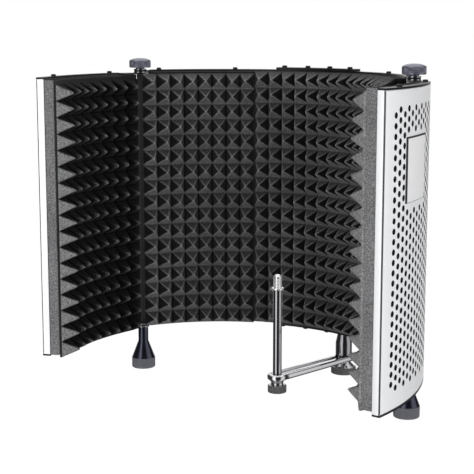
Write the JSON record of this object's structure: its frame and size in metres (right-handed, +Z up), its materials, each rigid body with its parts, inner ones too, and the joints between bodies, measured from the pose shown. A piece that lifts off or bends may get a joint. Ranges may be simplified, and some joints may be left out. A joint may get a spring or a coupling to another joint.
{
  "type": "microphone isolation shield",
  "caption": "Desktop acoustic shield: curved foam-lined perforated centre panel with hinged wings and a slotted arm that carries a microphone post.",
  "frame": {"origin": "centre of the left foot's underside, on the left hinge axis and the table plane", "axes": "+Z up, +X from the left hinge to the right hinge, +Y towards the back of the shield; the open side faces -Y"},
  "size_m": [0.4342, 0.3089, 0.371],
  "materials": {
    "silver_sheet": "satin, perforated sheet",
    "black_metal": "semi-gloss black",
    "foam": "matt open-cell acoustic foam",
    "dark_knurl": "knurled, dark blue-grey",
    "dark_foot": "gloss, near-black",
    "steel_knurl": "knurled steel",
    "bright_steel": "bright zinc",
    "chrome": "polished",
    "black_chrome": "dark polished",
    "rubber_washer": "matt",
    "badge_blank": "satin, blank"
  },
  "bodies": {
    "centre": {"centre_shell": "silver_sheet", "centre_foam_slab": "foam", "centre_foam_left": "foam", "centre_foam_mid": "foam", "centre_foam_right": "foam", "centre_top_cap": "black_metal", "centre_bottom_cap": "black_metal", "centre_cap_screws": "black_metal", "top_bracket": "black_metal", "bottom_bracket": "black_metal", "bracket_screws": "black_metal", "stand_post": "black_chrome", "post_screw": "bright_steel", "arm_stud": "bright_steel", "centre_plate_left_top": "black_metal", "centre_plate_left_bottom": "black_metal", "hinge_rod_left": "black_metal", "hinge_washers_left": "bright_steel", "centre_plate_right_top": "black_metal", "centre_plate_right_bottom": "black_metal", "hinge_rod_right": "black_metal", "hinge_washers_right": "bright_steel"},
    "left_wing": {"left_shell": "silver_sheet", "left_foam_slab": "foam", "left_foam_pyramids": "foam", "left_cap_screws": "black_metal", "left_top_cap": "black_metal", "left_plate_top": "black_metal", "left_bottom_cap": "black_metal", "left_plate_bottom": "black_metal"},
    "right_wing": {"badge_plate": "badge_blank", "right_shell": "silver_sheet", "right_foam_slab": "foam", "right_foam_pyramids": "foam", "right_cap_screws": "black_metal", "right_top_cap": "black_metal", "right_plate_top": "black_metal", "right_bottom_cap": "black_metal", "right_plate_bottom": "black_metal"},
    "left_knob": {"hinge_knob_left": "dark_knurl"},
    "right_knob": {"hinge_knob_right": "dark_knurl"},
    "left_foot": {"foot_left": "dark_foot"},
    "right_foot": {"foot_right": "dark_foot"},
    "arm_pivot": {"arm_washer": "rubber_washer"},
    "arm": {"mic_arm": "chrome"},
    "post": {"mic_post": "chrome", "mic_tip": "bright_steel"},
    "arm_nut": {"arm_knob": "steel_knurl"},
    "mic_nut": {"mic_knob": "steel_knurl"}
  },
  "joints": [
    {"name": "left_wing_fold", "type": "hinge", "parent": "centre", "child": "left_wing", "pos_m": [0, 0, 0.2], "axis": [0, 0, 1], "range_deg": [-44, 17]},
    {"name": "right_wing_fold", "type": "hinge", "parent": "centre", "child": "right_wing", "pos_m": [0.355, 0, 0.2], "axis": [0, 0, 1], "range_deg": [-32, 26.6]},
    {"name": "left_hinge_knob_turn", "type": "hinge", "parent": "centre", "child": "left_knob", "pos_m": [0, 0, 0.365], "axis": [0, 0, 1], "continuous": true},
    {"name": "right_hinge_knob_turn", "type": "hinge", "parent": "centre", "child": "right_knob", "pos_m": [0.355, 0, 0.365], "axis": [0, 0, 1], "continuous": true},
    {"name": "left_foot_turn", "type": "hinge", "parent": "centre", "child": "left_foot", "pos_m": [0, 0, 0.02], "axis": [0, 0, 1], "continuous": true},
    {"name": "right_foot_turn", "type": "hinge", "parent": "centre", "child": "right_foot", "pos_m": [0.355, 0, 0.02], "axis": [0, 0, 1], "continuous": true},
    {"name": "arm_swivel", "type": "hinge", "parent": "centre", "child": "arm_pivot", "pos_m": [0.2145, 0.1121, 0.0219], "axis": [0, 0, 1], "range_deg": [-30, 30]},
    {"name": "arm_slide", "type": "slide", "parent": "arm_pivot", "child": "arm", "axis": [-0.1878, -0.9822, 0], "range_m": [-0.02, 0.01]},
    {"name": "post_slide", "type": "slide", "parent": "arm", "child": "post", "axis": [-0.1878, -0.9822, 0], "range_m": [-0.025, 0]},
    {"name": "arm_nut_turn", "type": "hinge", "parent": "centre", "child": "arm_nut", "pos_m": [0.2145, 0.1121, 0.007], "axis": [0, 0, 1], "continuous": true},
    {"name": "mic_nut_turn", "type": "hinge", "parent": "post", "child": "mic_nut", "pos_m": [0.1929, -0.0009, 0.007], "axis": [0, 0, 1], "continuous": true}
  ]
}
